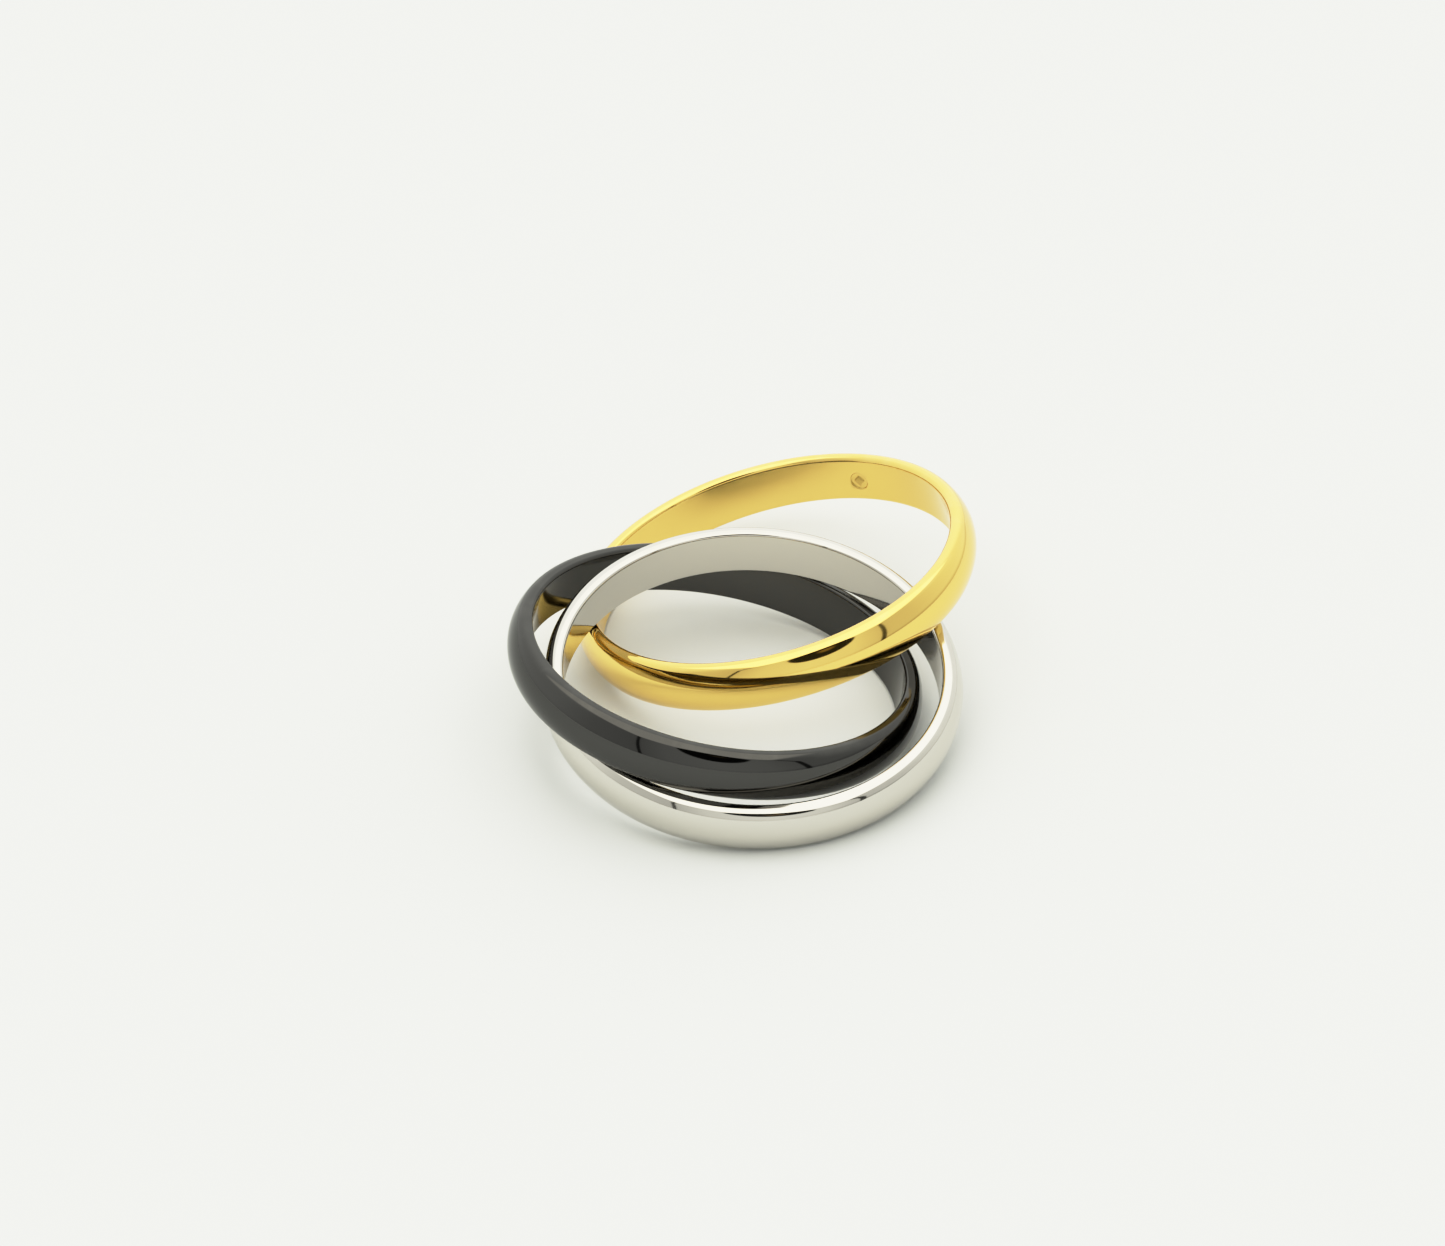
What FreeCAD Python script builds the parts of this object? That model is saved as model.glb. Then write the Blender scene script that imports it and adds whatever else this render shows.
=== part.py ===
"""Three interlinked finger-ring bands, lying on a flat surface.

The bands are the same size: flat inside, flat on both sides, domed outside. Each passes
through the other two, so the set can be tilted, rolled and stacked but never taken apart.
One is silver coloured, one black and one yellow gold.

Frame: +Z up, Z = 0 is the surface the bands lie on, and X = Y = 0 is the middle of the set.
Units are millimetres and degrees.
"""
import FreeCAD, Part
import math
import os

# ---- driving dimensions of one band ----
inner_radius = 9.4        # finger opening of 18.8 mm, EU ring size 59
band_width = 2.62         # along the band's own axis
crown_thickness = 1.09    # inner wall to the top of the dome
side_thickness = 0.6      # radial depth of the flat side, before its edges are rounded
shoulder_round = 0.5      # rounding where a flat side meets the dome

# ---- rounding where a band's inner wall meets its flat sides; it is larger on the gold band ----
comfort_rounds = {"silver_band": 0.18, "black_band": 0.18, "gold_band": 0.26}

# ---- blank punch mark in the gold band's inner wall ----
punch_radius = 0.52
punch_depth = 0.05
punch_bearing = -105.1    # place around the band, from its leaning side
punch_height = -0.12      # from the middle of the inner wall

# ---- how each band lies: place of its centre, tilt, and compass direction it leans to ----
# Each band touches the surface with the shoulder on its leaning side, so its height follows
# from its tilt. Distances are from the silver band's centre.
band_poses = {
    "silver_band": {"x": 0.0, "y": 0.0, "tilt": 10.4, "lean": -75.0},
    "black_band": {"x": -1.81, "y": 1.09, "tilt": 12.1, "lean": 18.7},
    "gold_band": {"x": 1.35, "y": 8.43, "tilt": 14.2, "lean": 165.7},
}

# ---- sizes that follow from the driving ones ----
half_width = band_width / 2
dome_rise = crown_thickness - side_thickness
dome_radius = (half_width ** 2 + dome_rise ** 2) / (2 * dome_rise)
dome_centre = inner_radius + crown_thickness - dome_radius
shoulder_height = half_width - shoulder_round
shoulder_centre = dome_centre + math.sqrt(
    (dome_radius - shoulder_round) ** 2 - shoulder_height ** 2)


def point(radius, height):
    """A point of the cross-section, which is drawn in the XZ plane."""
    return FreeCAD.Vector(radius, 0, height)


def arc_between(start, centre_radius, centre_height, radius, middle_angle, end):
    """Arc of the cross-section through the point at middle_angle, in degrees above the X axis."""
    angle = math.radians(middle_angle)
    middle = point(centre_radius + radius * math.cos(angle), centre_height + radius * math.sin(angle))
    return Part.Arc(start, middle, end).toShape()


def cross_section(comfort_round):
    """Closed outline of a band: inner wall, two flat sides with rounded edges, and the dome."""
    dome_edge_angle = math.degrees(math.atan2(shoulder_height, shoulder_centre - dome_centre))
    dome_edge_radius = dome_centre + dome_radius * math.cos(math.radians(dome_edge_angle))
    dome_edge_height = dome_radius * math.sin(math.radians(dome_edge_angle))
    wall_top = half_width - comfort_round
    comfort_centre = inner_radius + comfort_round
    shoulder_middle = (90 + dome_edge_angle) / 2
    edges = [
        Part.makeLine(point(inner_radius, -wall_top), point(inner_radius, wall_top)),
        arc_between(point(inner_radius, wall_top), comfort_centre, wall_top, comfort_round, 135,
                    point(comfort_centre, half_width)),
        Part.makeLine(point(comfort_centre, half_width), point(shoulder_centre, half_width)),
        arc_between(point(shoulder_centre, half_width), shoulder_centre, shoulder_height,
                    shoulder_round, shoulder_middle, point(dome_edge_radius, dome_edge_height)),
        arc_between(point(dome_edge_radius, dome_edge_height), dome_centre, 0, dome_radius, 0,
                    point(dome_edge_radius, -dome_edge_height)),
        arc_between(point(dome_edge_radius, -dome_edge_height), shoulder_centre, -shoulder_height,
                    shoulder_round, -shoulder_middle, point(shoulder_centre, -half_width)),
        Part.makeLine(point(shoulder_centre, -half_width), point(comfort_centre, -half_width)),
        arc_between(point(comfort_centre, -half_width), comfort_centre, -wall_top, comfort_round,
                    -135, point(inner_radius, -wall_top)),
    ]
    return Part.Face(Part.Wire(edges))


def plain_band(name):
    """One band about the Z axis, centred on the origin."""
    return cross_section(comfort_rounds[name]).revolve(
        FreeCAD.Vector(0, 0, 0), FreeCAD.Vector(0, 0, 1), 360)


def punch_cutter():
    """Round rod that reaches punch_depth into the inner wall at punch_bearing."""
    reach = 1.0
    rod = Part.makeCylinder(punch_radius, reach,
                            FreeCAD.Vector(inner_radius + punch_depth - reach, 0, punch_height),
                            FreeCAD.Vector(1, 0, 0))
    rod.rotate(FreeCAD.Vector(0, 0, 0), FreeCAD.Vector(0, 0, 1), punch_bearing)
    return rod


def rest_height(tilt):
    """Height of a band's centre when it leans on its lower shoulder at this tilt."""
    angle = math.radians(tilt)
    return shoulder_centre * math.sin(angle) + shoulder_height * math.cos(angle) + shoulder_round


def laid_down(band, pose):
    """The band turned and moved from its own axis to where it lies."""
    band = band.copy()
    origin = FreeCAD.Vector(0, 0, 0)
    band.rotate(origin, FreeCAD.Vector(0, 1, 0), pose["tilt"])
    band.rotate(origin, FreeCAD.Vector(0, 0, 1), pose["lean"])
    band.translate(FreeCAD.Vector(pose["x"], pose["y"], rest_height(pose["tilt"])))
    return band


bands = {name: plain_band(name) for name in band_poses}
bands["gold_band"] = bands["gold_band"].cut(punch_cutter())
laid = {name: laid_down(band, band_poses[name]) for name, band in bands.items()}

# The middle of the whole set's box becomes X = Y = 0.
box = Part.makeCompound(list(laid.values())).optimalBoundingBox(False)
middle = FreeCAD.Vector(box.Center.x, box.Center.y, 0)

os.makedirs("parts", exist_ok=True)
for name, band in laid.items():
    band.translate(middle * -1)
    band.exportStep("parts/" + name + ".step")
    print(name, "volume", round(band.Volume, 2), "mm3, valid", band.isValid())
print("middle of the set from the silver band's centre", round(middle.x, 3), round(middle.y, 3))
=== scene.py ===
"""Three interlinked finger-ring bands, silver coloured, black and yellow gold, on a pale table.

Each band is turned again from the cross-section of its CAD solid, round the centre and the axis
of that solid, with fine steps and exact normals, so that its mirror polish stays smooth. The
light is the inside of a white light tent: pale walls with dark seams, a bright ceiling and the
round opening that the camera looks in through, all of which the bands reflect.

Frame: metres, +Z up, Z = 0 is the table, and the camera looks along +Y and down.
"""
import math

import bpy
import numpy as np
from mathutils import Matrix, Vector


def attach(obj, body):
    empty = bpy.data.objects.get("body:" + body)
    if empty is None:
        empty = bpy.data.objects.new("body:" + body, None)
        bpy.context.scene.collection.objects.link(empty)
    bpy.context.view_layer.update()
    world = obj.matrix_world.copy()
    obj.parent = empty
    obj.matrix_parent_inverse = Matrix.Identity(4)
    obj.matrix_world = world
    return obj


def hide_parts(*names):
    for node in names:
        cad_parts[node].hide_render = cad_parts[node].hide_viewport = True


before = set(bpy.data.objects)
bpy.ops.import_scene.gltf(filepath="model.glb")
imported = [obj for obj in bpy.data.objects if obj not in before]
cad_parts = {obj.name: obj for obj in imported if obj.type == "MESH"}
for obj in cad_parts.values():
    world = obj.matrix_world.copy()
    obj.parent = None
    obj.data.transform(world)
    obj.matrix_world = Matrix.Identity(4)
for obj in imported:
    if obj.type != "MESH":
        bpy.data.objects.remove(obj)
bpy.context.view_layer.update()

MM = 0.001
OWN_PLACE = "own_place"        # attribute: a point of a band in the band's own frame

# ---- cross-section of a band, in metres ----
INNER_RADIUS = 9.4 * MM
BAND_WIDTH = 2.62 * MM
CROWN_THICKNESS = 1.09 * MM    # inner wall to the top of the dome
SIDE_THICKNESS = 0.6 * MM      # radial depth of the flat side, before its edges are rounded
SHOULDER_ROUND = 0.5 * MM      # rounding where a flat side meets the dome

# ---- rounding where the inner wall meets a flat side; it is larger on the gold band ----
COMFORT_ROUNDS = {"silver": 0.18 * MM, "black": 0.18 * MM, "gold": 0.26 * MM}

# ---- how finely a band is turned ----
STEPS_AROUND = 720
WALL_STEPS = 22
SIDE_STEPS = 2
COMFORT_STEPS = 12
SHOULDER_STEPS = 20
DOME_STEPS = 40

# ---- punch mark in the gold band's inner wall ----
PUNCH_RADIUS = 0.52 * MM
PUNCH_EDGE = 0.07 * MM         # width of its sloping edge
PUNCH_DEPTH = 0.05 * MM
LOZENGE_RADIUS = 0.32 * MM     # raised lozenge in the middle, centre to corner, at its foot
LOZENGE_TOP = 0.24 * MM
LOZENGE_RISE = 0.035 * MM
PUNCH_EDGE_STEPS = 6
LOZENGE_STEPS = 4
PUNCH_CELLS_ALONG = 8          # half the patch of wall that the mark takes, in steps around
PUNCH_CELLS_ACROSS = 6         # and in steps across the wall

# ---- marks in the metal; scales are cells per metre ----
LINES_AROUND, LINES_ACROSS = 260.0, 11000.0
LINE_ON_WALL, LINE_ON_SHOULDER, LINE_ELSEWHERE = 0.00018, 0.00008, 0.00002   # heights in mm
SMUDGE_SCALE = 420.0
SPECK_SCALE = 900.0
SPECK_DEPTH = 0.002 * MM
WAVES_AROUND, WAVES_ACROSS = 380.0, 900.0
WAVE_RISE = 0.0016 * MM
LEAST_ROUGHNESS = 0.01

# ---- camera ----
ELEVATION = 34.4               # degrees above the table
DISTANCE = 241.5 * MM
LENS = 118.8                   # on a 36 mm wide sensor
ROLL = -1.29                   # degrees
AIM = Vector((-1.14, 1.22, 3.0)) * MM

# ---- light tent; bearings are in degrees from -Y, the camera's side, towards +X ----
TENT_TURN = 9.0                # bearing of the middle of the front wall
CEILING_START, CEILING_FULL = 1.22, 1.48   # height over distance to the wall
CEILING_LEVEL = 2.3
CEILING_TINT = (1.03, 1.01, 0.88)
WALL_TINT = (1.0, 1.015, 0.94)
WALL_LEVELS = [                # bearing, level of light
    (-180, 1.72), (-126, 1.32), (-90, 1.12), (-65, 0.79), (-36, 0.66), (-20, 0.92), (9, 1.05),
    (35, 0.98), (54, 0.74), (75, 0.79), (99, 1.00), (125, 1.21), (146, 1.28), (165, 1.65),
    (180, 1.72),
]
TABLE_LEVEL = 1.15             # beyond the edge of the floor
LEFT_SEAM, RIGHT_SEAM = (0.956, 0.974), (0.930, 0.955)     # 0 at a wall's middle, 1 at its corner
LEFT_SEAM_LEVEL, RIGHT_SEAM_LEVEL = 0.05, 0.06
RIGHT_SEAM_LEAN = 0.012
CREASE_DEPTH, CREASE_DEEPER = 0.08, 0.25   # darkening at a wall's foot, and the right wall's extra
OPENING_BEARING, OPENING_HEIGHT = 12.0, 40.5
OPENING_RADIUS = 17.3
OPENING_LEVEL = 0.02
OPENING_BLUR = 0.6
LENS_BEARING, LENS_HEIGHT = 15.0, 40.0
LENS_RADIUS = 4.0
LENS_BLUR = 2.0
LENS_GLOW = (0.20, 0.15, 0.08)

# ---- picture response: straight up to the knee, then highlights roll off towards white ----
KNEE = 0.55
BRIGHTEST = 4.0
POINTS_BELOW_KNEE, POINTS_ABOVE_KNEE = 5, 22

FLOOR_RADIUS = 0.6
FLOOR_CORNERS = 128
CLOUD_SCALE = 60.0             # faint cloudiness of the floor, in cells per metre
CLOUD_LIFT = 1.006
FLOOR_COLOUR = (0.765, 0.79, 0.80)
BACKDROP = (1.176, 1.249, 1.143)


# ---------------------------------------------------------------- node arithmetic


class Number:
    """A value in a node tree. Arithmetic on it adds Math nodes."""

    def __init__(self, tree, socket):
        self.tree = tree
        self.socket = socket

    def math(self, operation, *others):
        node = self.tree.nodes.new("ShaderNodeMath")
        node.operation = operation
        for place, value in zip(node.inputs, (self, *others)):
            if isinstance(value, Number):
                self.tree.links.new(value.socket, place)
            else:
                place.default_value = value
        return Number(self.tree, node.outputs[0])

    def __add__(self, other):
        return self.math("ADD", other)

    def __sub__(self, other):
        return self.math("SUBTRACT", other)

    def __mul__(self, other):
        return self.math("MULTIPLY", other)

    def __truediv__(self, other):
        return self.math("DIVIDE", other)

    def step(self, low, high):
        """0 below low and 1 above high, with a smooth rise between them. low may be above high."""
        node = self.tree.nodes.new("ShaderNodeMapRange")
        node.interpolation_type = "SMOOTHSTEP"
        node.inputs["From Min"].default_value = low
        node.inputs["From Max"].default_value = high
        self.tree.links.new(self.socket, node.inputs["Value"])
        return Number(self.tree, node.outputs["Result"])

    def towards(self, goal, share):
        """This value mixed with goal: share 0 keeps it, 1 gives goal."""
        return share.math("MULTIPLY_ADD", self * -1 + goal, self)


def separate(tree, vector):
    """The three numbers of a vector socket."""
    node = tree.nodes.new("ShaderNodeSeparateXYZ")
    tree.links.new(vector, node.inputs[0])
    return [Number(tree, out) for out in node.outputs]


def combine(tree, *numbers):
    """A vector socket of three numbers."""
    node = tree.nodes.new("ShaderNodeCombineXYZ")
    for number, place in zip(numbers, node.inputs):
        tree.links.new(number.socket, place)
    return node.outputs[0]


def mix_colours(tree, share, first, second):
    """A colour socket between two colours, each a tuple or a socket."""
    node = tree.nodes.new("ShaderNodeMix")
    node.data_type = "RGBA"
    tree.links.new(share.socket, node.inputs["Factor"])
    for place, colour in ((node.inputs[6], first), (node.inputs[7], second)):
        if isinstance(colour, tuple):
            place.default_value = (*colour, 1)
        else:
            tree.links.new(colour, place)
    return node.outputs[2]


def noise(tree, vector, scale, detail):
    """A noise texture node over a vector socket."""
    node = tree.nodes.new("ShaderNodeTexNoise")
    node.inputs["Scale"].default_value = scale
    node.inputs["Detail"].default_value = detail
    tree.links.new(vector, node.inputs["Vector"])
    return node


# ---------------------------------------------------------------- band meshes


def arc(centre, radius, start, end, steps):
    """Points of the outline as (radius, height, normal outwards, normal upwards)."""
    points = []
    for angle in np.radians(np.linspace(start, end, steps + 1)):
        out, up = math.cos(angle), math.sin(angle)
        points.append((centre[0] + radius * out, centre[1] + radius * up, out, up))
    return points


def straight(start, end, normal, steps):
    """The points between two corners of the outline, without the corners."""
    share = np.linspace(0, 1, steps + 1)[1:-1]
    return [(start[0] + (end[0] - start[0]) * s, start[1] + (end[1] - start[1]) * s, *normal)
            for s in share]


def cross_section(comfort_round):
    """Closed outline of a band, from the foot of the inner wall upwards and round outside."""
    half = BAND_WIDTH / 2
    rise = CROWN_THICKNESS - SIDE_THICKNESS
    dome_radius = (half ** 2 + rise ** 2) / (2 * rise)
    dome_centre = INNER_RADIUS + CROWN_THICKNESS - dome_radius
    shoulder_height = half - SHOULDER_ROUND
    shoulder_centre = dome_centre + math.sqrt(
        (dome_radius - SHOULDER_ROUND) ** 2 - shoulder_height ** 2)
    dome_edge = math.degrees(math.atan2(shoulder_height, shoulder_centre - dome_centre))
    wall_top = half - comfort_round
    comfort_centre = INNER_RADIUS + comfort_round

    upper = arc((comfort_centre, wall_top), comfort_round, 180, 90, COMFORT_STEPS)
    upper += straight((comfort_centre, half), (shoulder_centre, half), (0, 1), SIDE_STEPS)
    upper += arc((shoulder_centre, shoulder_height), SHOULDER_ROUND, 90, dome_edge,
                 SHOULDER_STEPS)
    dome = arc((dome_centre, 0), dome_radius, dome_edge, -dome_edge, DOME_STEPS)[1:-1]
    lower = [(r, -z, out, -up) for r, z, out, up in reversed(upper)]
    wall = straight((INNER_RADIUS, -wall_top), (INNER_RADIUS, wall_top), (-1, 0), WALL_STEPS)
    return wall + upper + dome + lower


def band_place(node):
    """Matrix that takes the Z axis and the origin to the axis and the centre of a CAD band."""
    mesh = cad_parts[node].data
    area = np.empty(len(mesh.polygons))
    middle = np.empty(len(mesh.polygons) * 3)
    mesh.polygons.foreach_get("area", area)
    mesh.polygons.foreach_get("center", middle)
    middle = middle.reshape(-1, 3)
    centre = area @ middle / area.sum()
    spread = (middle - centre).T @ ((middle - centre) * area[:, None])
    axis = Vector(np.linalg.eigh(spread)[1][:, 0])
    if axis.z < 0:
        axis.negate()
    turn = axis.to_track_quat("Z", "Y").to_matrix().to_4x4()
    return Matrix.Translation(centre) @ turn


def punch_place(node, place, wall_top):
    """Bearing round the band's axis and height along it of the recess in a CAD band's wall."""
    # Corners a little deeper than the wall, and clear of its rounded edges, are the recess.
    corners = [place.inverted() @ v.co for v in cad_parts[node].data.vertices]
    deep = [c for c in corners
            if abs(c.z) < wall_top - 0.1 * MM
            and INNER_RADIUS + 0.01 * MM < math.hypot(c.x, c.y) < INNER_RADIUS + 0.15 * MM]
    middle = sum(deep, Vector()) / len(deep)
    return math.atan2(middle.y, middle.x), middle.z


def eased(share):
    """0 to 1 like share, but starting and ending level."""
    return share * share * (3 - 2 * share)


def punch_rings():
    """The mark's rings from outside in: radius of the ring, how round it is, and its depth.

    A roundness of 1 is a circle and 0 is a lozenge.
    """
    rings = []
    for s in np.linspace(0, 1, PUNCH_EDGE_STEPS + 1):
        rings.append((PUNCH_RADIUS - PUNCH_EDGE * s, 1, PUNCH_DEPTH * eased(s)))
    rings.append((0.5 * (PUNCH_RADIUS - PUNCH_EDGE + LOZENGE_RADIUS), 0.5, PUNCH_DEPTH))
    for s in np.linspace(0, 1, LOZENGE_STEPS + 1):
        radius = LOZENGE_RADIUS + (LOZENGE_TOP - LOZENGE_RADIUS) * s
        rings.append((radius, 0, PUNCH_DEPTH - LOZENGE_RISE * eased(s)))
    rings.append((0.5 * LOZENGE_TOP, 0, PUNCH_DEPTH - LOZENGE_RISE))
    return rings


def turned_band(name, place, comfort_round, punch=None):
    """Mesh of one band, turned round the Z axis and then put in its place.

    punch is the bearing and the height of a wall mark. Each corner's place before the move is
    kept as an attribute, for the material.
    """
    outline = cross_section(comfort_round)
    rows = len(outline)
    start = punch[0] if punch else 0.0
    corners, normals, faces = [], [], []
    for k in range(STEPS_AROUND):
        angle = start + 2 * math.pi * k / STEPS_AROUND
        c, s = math.cos(angle), math.sin(angle)
        for r, z, out, up in outline:
            corners.append((r * c, r * s, z))
            normals.append((out * c, out * s, up))

    def at(column, row):
        return (column % STEPS_AROUND) * rows + row % rows

    marked = set()
    if punch:
        # The wall's points come first in the outline, so its row numbers start at 0.
        wall_top = BAND_WIDTH / 2 - comfort_round
        step_up = 2 * wall_top / WALL_STEPS
        middle_row = round((punch[1] + wall_top) / step_up) - 1
        low, high = middle_row - PUNCH_CELLS_ACROSS, middle_row + PUNCH_CELLS_ACROSS
        left, right = -PUNCH_CELLS_ALONG, PUNCH_CELLS_ALONG
        marked = {(k % STEPS_AROUND, row) for k in range(left, right) for row in range(low, high)}
    for k in range(STEPS_AROUND):
        for row in range(rows):
            if (k, row) not in marked:
                faces.append((at(k, row), at(k, row + 1), at(k + 1, row + 1), at(k + 1, row)))

    if punch:
        edge = [(k, low) for k in range(left, right)]
        edge += [(right, row) for row in range(low, high)]
        edge += [(k, high) for k in range(right, left, -1)]
        edge += [(left, row) for row in range(high, low, -1)]
        along_step = 2 * math.pi * INNER_RADIUS / STEPS_AROUND
        middle_height = outline[middle_row][1]
        bearings = [math.atan2((row - middle_row) * step_up, k * along_step) for k, row in edge]
        outer = [at(k, row) for k, row in edge]
        for radius, roundness, depth in punch_rings():
            inner = []
            for bearing in bearings:
                c, s = math.cos(bearing), math.sin(bearing)
                reach = radius * (roundness + (1 - roundness) / (abs(c) + abs(s)))
                angle = start + reach * c / INNER_RADIUS
                r = INNER_RADIUS + depth
                inner.append(len(corners))
                corners.append((r * math.cos(angle), r * math.sin(angle),
                                middle_height + reach * s))
                normals.append((0, 0, 0))
            for i in range(len(outer)):
                j = (i + 1) % len(outer)
                faces.append((outer[i], inner[i], inner[j], outer[j]))
            outer = inner
        faces.append(tuple(reversed(outer)))

    turn = place.to_3x3()
    mesh = bpy.data.meshes.new(name)
    mesh.from_pydata([place @ Vector(c) for c in corners], [], faces)
    # A normal of zero length leaves that corner's own smooth normal, as in the mark.
    mesh.shade_smooth()
    mesh.normals_split_custom_set_from_vertices([turn @ Vector(n) for n in normals])
    own_place = mesh.attributes.new(OWN_PLACE, "FLOAT_VECTOR", "POINT")
    own_place.data.foreach_set("vector", np.array(corners).ravel())
    mesh.validate()
    return mesh


# ---------------------------------------------------------------- metals


def polished_metal(name, colour, sheen_and_speck_colour, dome_roughness, wall_roughness, edge=1.0,
                   stamped=False):
    """Mirror-polished metal with fine lines, smudges, specks and a painted highlight on the
    shoulders.

    The lines follow the band round, so their noise is stretched along it, and they are stronger
    on the inner wall, which is rougher than the outside. Long, shallow waves make the mirror
    slightly uneven. The slopes of a stamped mark are dull and dark, and its floor is mottled.
    edge is the share of a plain metal's brightening that is seen at grazing angles.
    """
    material = bpy.data.materials.new(name)
    material.use_nodes = True
    tree = material.node_tree
    shader = tree.nodes["Principled BSDF"]
    shader.inputs["Metallic"].default_value = 1.0
    shader.inputs["Specular Tint"].default_value = (edge, edge, edge, 1)

    attribute = tree.nodes.new("ShaderNodeAttribute")
    attribute.attribute_name = OWN_PLACE
    here = attribute.outputs["Vector"]
    x, y, z = separate(tree, here)
    radius = (x * x + y * y).math("SQRT")
    wall = radius.step(INNER_RADIUS + 0.06 * MM, INNER_RADIUS + 0.02 * MM)

    stretched = combine(tree, x * LINES_AROUND, y * LINES_AROUND, z * LINES_ACROSS)
    lines = noise(tree, stretched, scale=1.0, detail=3.0)
    lines.noise_dimensions = "4D"
    tree.links.new((radius * LINES_ACROSS).socket, lines.inputs["W"])
    line = Number(tree, lines.outputs["Fac"])

    smudge = noise(tree, here, SMUDGE_SCALE, detail=4.0)
    smudge.inputs["Roughness"].default_value = 0.6
    smear = Number(tree, smudge.outputs["Fac"])
    film = smear.step(0.45, 0.72)

    specks = tree.nodes.new("ShaderNodeTexVoronoi")
    specks.inputs["Scale"].default_value = SPECK_SCALE
    tree.links.new(here, specks.inputs["Vector"])
    near = Number(tree, specks.outputs["Distance"]).step(0.07, 0.03)
    chosen = separate(tree, specks.outputs["Color"])[0].step(0.955, 0.965)
    speck = near * chosen

    shallow = combine(tree, x * WAVES_AROUND, y * WAVES_AROUND, z * WAVES_ACROSS)
    wave = Number(tree, noise(tree, shallow, scale=1.0, detail=1.0).outputs["Fac"])

    # The rounded shoulders are painted a little paler, more on some stretches than others: a
    # painted highlight for the bright rim that they reflect. The specks are paler too.
    shoulder = z.math("ABSOLUTE").step(0.40 * BAND_WIDTH, 0.47 * BAND_WIDTH)
    painted_sheen_and_speck = shoulder * film * 0.5 + speck * 0.35
    metal = mix_colours(tree, painted_sheen_and_speck, colour, sheen_and_speck_colour)
    roughness = wall * (wall_roughness - dome_roughness) + dome_roughness
    roughness = roughness + (line - 0.5) * 0.03 + film * 0.02 + speck * 0.25
    line_height = wall * LINE_ON_WALL + shoulder * LINE_ON_SHOULDER + LINE_ELSEWHERE
    height = line * line_height * MM - speck * SPECK_DEPTH + wave * WAVE_RISE
    if stamped:
        depth = (radius - INNER_RADIUS) / PUNCH_DEPTH
        mid_wall = z.math("ABSOLUTE").step(0.33 * BAND_WIDTH, 0.31 * BAND_WIDTH)
        in_mark = mid_wall * depth.step(1.8, 1.5)
        slope = in_mark * depth.step(0.1, 0.3) * depth.step(0.97, 0.8)
        floor = in_mark * depth.step(0.8, 0.97)
        mottle = smear.step(0.35, 0.65)
        dull = slope * 0.5 + floor * (mottle * 0.22 + 0.06)
        metal = mix_colours(tree, dull, metal, tuple(c * 0.35 for c in colour))
        roughness = roughness + slope * 0.2 + floor * 0.15
    tree.links.new(metal, shader.inputs["Base Color"])
    tree.links.new(roughness.math("MAXIMUM", LEAST_ROUGHNESS).socket, shader.inputs["Roughness"])

    bump = tree.nodes.new("ShaderNodeBump")
    bump.inputs["Strength"].default_value = 1.0
    bump.inputs["Distance"].default_value = 1.0
    tree.links.new(height.socket, bump.inputs["Height"])
    tree.links.new(bump.outputs["Normal"], shader.inputs["Normal"])
    return material


# ---------------------------------------------------------------- surroundings


def bearing_direction(bearing, height):
    """Unit vector at a bearing from -Y towards +X and a height above the horizon, in degrees."""
    b, h = math.radians(bearing), math.radians(height)
    return Vector((math.sin(b) * math.cos(h), -math.cos(b) * math.cos(h), math.sin(h)))


def angle_from(tree, direction, bearing, height):
    """Degrees between a direction socket and a fixed direction."""
    node = tree.nodes.new("ShaderNodeVectorMath")
    node.operation = "DOT_PRODUCT"
    tree.links.new(direction, node.inputs[0])
    node.inputs[1].default_value = bearing_direction(bearing, height)
    return Number(tree, node.outputs["Value"]).math("ARCCOSINE") * math.degrees(1)


def wall_level(tree, bearing_share):
    """Level of light on the tent's walls; bearing_share runs from 0 at -180 degrees to 1."""
    ramp = tree.nodes.new("ShaderNodeValToRGB")
    brightest = max(level for _, level in WALL_LEVELS)
    stops = ramp.color_ramp.elements
    while len(stops) < len(WALL_LEVELS):
        stops.new(0.5)
    for stop, (bearing, level) in zip(stops, WALL_LEVELS):
        stop.position = bearing / 360 + 0.5
        stop.color = (*[level / brightest] * 3, 1)
    tree.links.new(bearing_share.socket, ramp.inputs[0])
    return separate(tree, ramp.outputs["Color"])[0] * brightest


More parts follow.
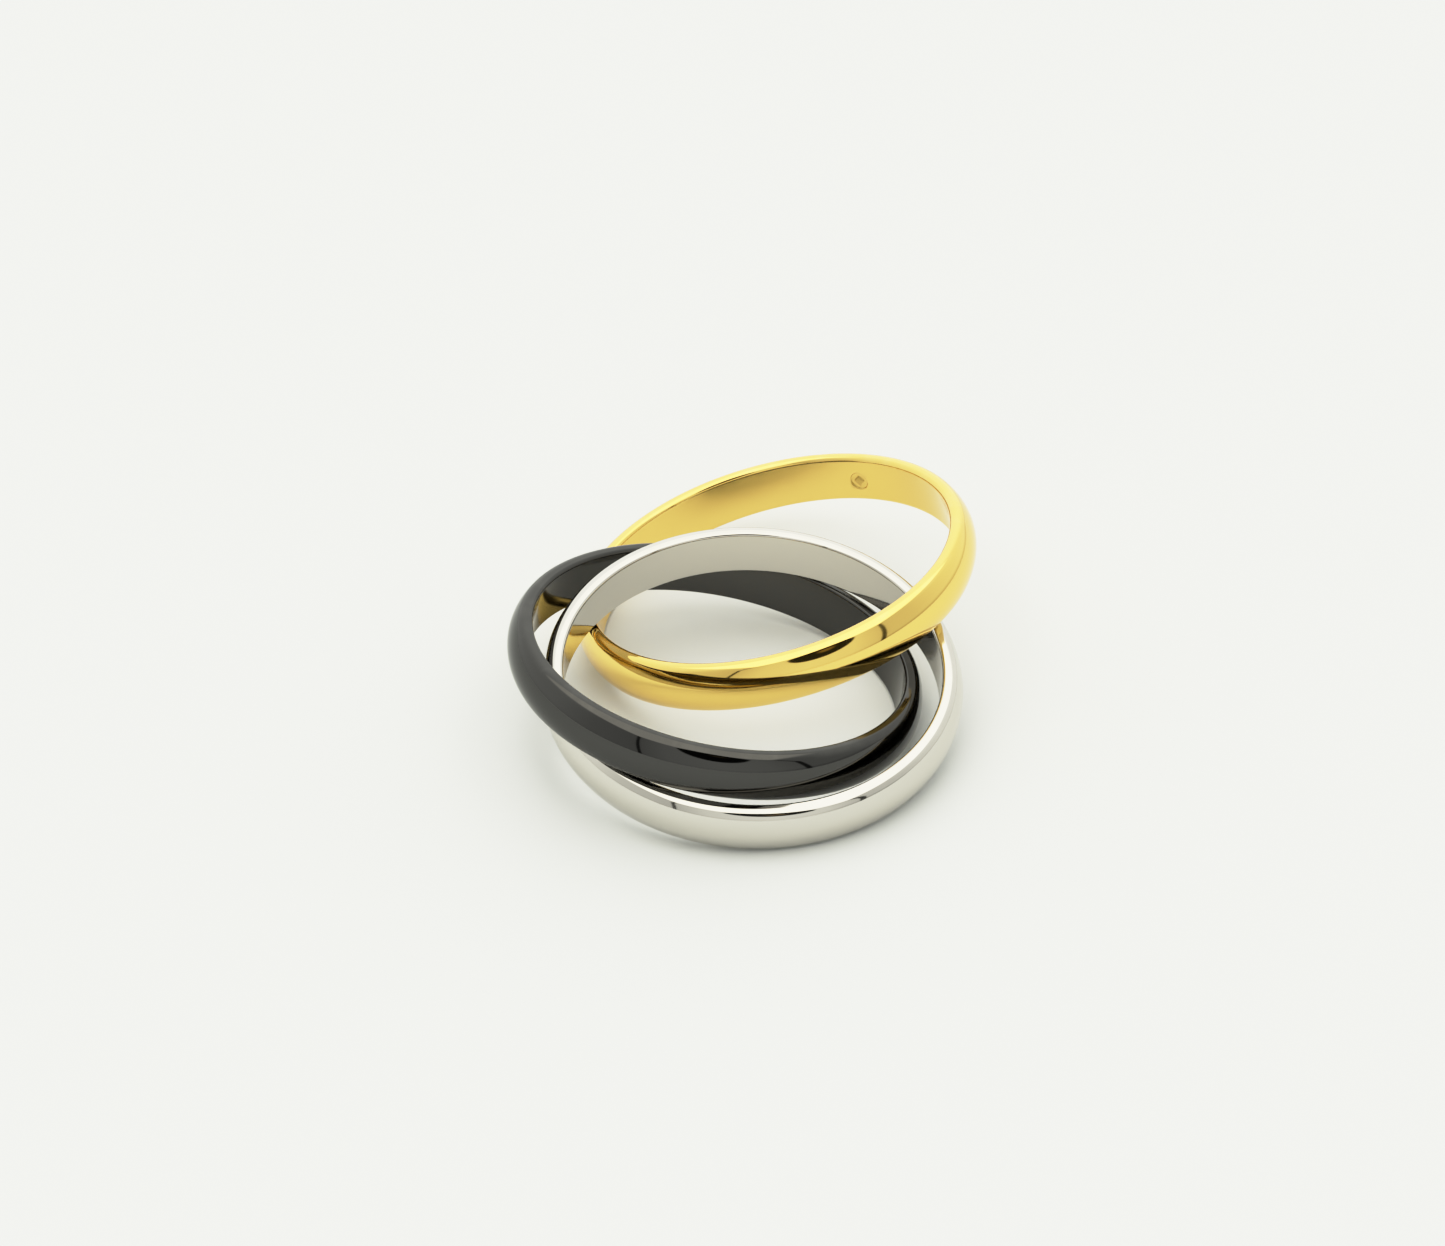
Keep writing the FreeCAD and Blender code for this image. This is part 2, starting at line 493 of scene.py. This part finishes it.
def light_tent():
    """World light: four walls with dark front seams, ceiling, camera opening and table."""
    world = bpy.data.worlds.new("light_tent")
    bpy.context.scene.world = world
    world.use_nodes = True
    tree = world.node_tree
    tree.nodes.clear()
    direction = tree.nodes.new("ShaderNodeTexCoord").outputs["Generated"]
    x, y, z = separate(tree, direction)
    share = x.math("ARCTAN2", y * -1) / (2 * math.pi) + 0.5

    turn = tree.nodes.new("ShaderNodeVectorRotate")
    turn.rotation_type = "Z_AXIS"
    turn.inputs["Angle"].default_value = -math.radians(TENT_TURN)
    tree.links.new(direction, turn.inputs["Vector"])
    side, back, up = separate(tree, turn.outputs[0])
    wide, deep = side.math("ABSOLUTE"), back.math("ABSOLUTE")
    to_wall = wide.math("MAXIMUM", deep)
    height = up / to_wall
    corner = wide.math("MINIMUM", deep) / to_wall

    level = wall_level(tree, share)
    front = back.step(0.0, -0.1)
    left_seam = corner.step(*LEFT_SEAM) * side.step(0.0, -0.1) * front
    narrowing = corner - height * RIGHT_SEAM_LEAN
    right_seam = narrowing.step(*RIGHT_SEAM) * side.step(0.0, 0.1) * front
    level = level.towards(LEFT_SEAM_LEVEL, left_seam)
    level = level.towards(RIGHT_SEAM_LEVEL, right_seam)
    crease = height.step(-0.03, 0.0) * height.step(0.12, 0.01)
    crease_depth = side.step(0.2, 0.8) * CREASE_DEEPER + CREASE_DEPTH
    level = level * (crease * crease_depth * -1 + 1)
    ceiling = height.step(CEILING_START, CEILING_FULL)
    level = level.towards(CEILING_LEVEL, ceiling)
    level = level.towards(TABLE_LEVEL, height.step(0.0, -0.02))
    hole = angle_from(tree, direction, OPENING_BEARING, OPENING_HEIGHT)
    opening = hole.step(OPENING_RADIUS + OPENING_BLUR, OPENING_RADIUS - OPENING_BLUR)
    level = level.towards(OPENING_LEVEL, opening)
    lens = angle_from(tree, direction, LENS_BEARING, LENS_HEIGHT)
    glow = lens.step(LENS_RADIUS + LENS_BLUR, LENS_RADIUS - LENS_BLUR)

    tints = [level * (ceiling * (above - beside) + beside)
             for above, beside in zip(CEILING_TINT, WALL_TINT)]
    seen_in_bands = mix_colours(tree, glow, combine(tree, *tints), LENS_GLOW)
    from_camera = Number(tree, tree.nodes.new("ShaderNodeLightPath").outputs["Is Camera Ray"])
    colour = mix_colours(tree, from_camera, seen_in_bands, BACKDROP)
    background = tree.nodes.new("ShaderNodeBackground")
    tree.links.new(colour, background.inputs["Color"])
    output = tree.nodes.new("ShaderNodeOutputWorld")
    tree.links.new(background.outputs[0], output.inputs["Surface"])


def pale_floor():
    """Matt white table top, a large disc."""
    corners = [(FLOOR_RADIUS * math.cos(a), FLOOR_RADIUS * math.sin(a), 0)
               for a in np.linspace(0, 2 * math.pi, FLOOR_CORNERS, endpoint=False)]
    mesh = bpy.data.meshes.new("table_top")
    mesh.from_pydata(corners, [], [tuple(range(len(corners)))])
    table = bpy.data.objects.new("table_top", mesh)
    bpy.context.scene.collection.objects.link(table)
    material = bpy.data.materials.new("matt_white")
    material.use_nodes = True
    tree = material.node_tree
    shader = tree.nodes["Principled BSDF"]
    shader.inputs["Roughness"].default_value = 0.9
    shader.inputs["Specular IOR Level"].default_value = 0.0
    here = tree.nodes.new("ShaderNodeTexCoord").outputs["Object"]
    share = Number(tree, noise(tree, here, CLOUD_SCALE, detail=3.0).outputs["Fac"])
    paler = tuple(c * CLOUD_LIFT for c in FLOOR_COLOUR)
    colour = mix_colours(tree, share, FLOOR_COLOUR, paler)
    tree.links.new(colour, shader.inputs["Base Color"])
    mesh.materials.append(material)


def studio_camera():
    """Camera at the picture's viewing angle, rolled a little about its own axis."""
    data = bpy.data.cameras.new("camera")
    data.lens = LENS
    data.sensor_width = 36
    data.clip_start = 0.01
    data.clip_end = 10
    camera = bpy.data.objects.new("camera", data)
    bpy.context.scene.collection.objects.link(camera)
    back = bearing_direction(0, ELEVATION)
    turn = (-back).to_track_quat("-Z", "Y").to_matrix().to_4x4()
    camera.matrix_world = (Matrix.Translation(AIM + back * DISTANCE) @ turn
                           @ Matrix.Rotation(math.radians(ROLL), 4, "Z"))
    bpy.context.scene.camera = camera


def shown(light):
    """Brightness in the picture for a level of light; 1 is white."""
    if light <= KNEE:
        return light
    rest = 1 - KNEE
    return 1 - rest * math.exp((KNEE - light) / rest)


def soft_highlights():
    """Picture response that is straight up to the knee, with soft highlights above it."""
    settings = bpy.context.scene.view_settings
    settings.view_transform = "Standard"
    settings.use_curve_mapping = True
    mapping = settings.curve_mapping
    mapping.white_level = (BRIGHTEST, BRIGHTEST, BRIGHTEST)
    curve = mapping.curves[3]
    curve.points[0].location = (0, 0)
    curve.points[1].location = (1, shown(BRIGHTEST))
    below = np.linspace(0, KNEE, POINTS_BELOW_KNEE + 1)[1:]
    above = np.linspace(KNEE, BRIGHTEST, POINTS_ABOVE_KNEE + 2)[1:-1]
    for light in (*below, *above):
        curve.points.new(light / BRIGHTEST, shown(light))
    mapping.update()


# ---------------------------------------------------------------- the scene

# Each metal: its own colour, then a paler colour painted on the shoulders as a highlight and on
# the specks.
metals = {
    "silver": polished_metal("silver_polish", (0.605, 0.58, 0.53), (0.68, 0.655, 0.60),
                             dome_roughness=0.05, wall_roughness=0.10),
    "black": polished_metal("black_polish", (0.063, 0.062, 0.0605), (0.10, 0.098, 0.094),
                            dome_roughness=0.055, wall_roughness=0.10, edge=0.78),
    "gold": polished_metal("gold_polish", (0.895, 0.61, 0.165), (0.93, 0.665, 0.25),
                           dome_roughness=0.06, wall_roughness=0.13, stamped=True),
}

for body, metal in metals.items():
    node = body + "_band"
    place = band_place(node)
    wall_top = BAND_WIDTH / 2 - COMFORT_ROUNDS[body]
    punch = punch_place(node, place, wall_top) if body == "gold" else None
    mesh = turned_band(node + "_polished", place, COMFORT_ROUNDS[body], punch)
    mesh.materials.append(metal)
    band = bpy.data.objects.new(node + "_polished", mesh)
    bpy.context.scene.collection.objects.link(band)
    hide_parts(node)
    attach(band, body)

pale_floor()
light_tent()
studio_camera()
soft_highlights()
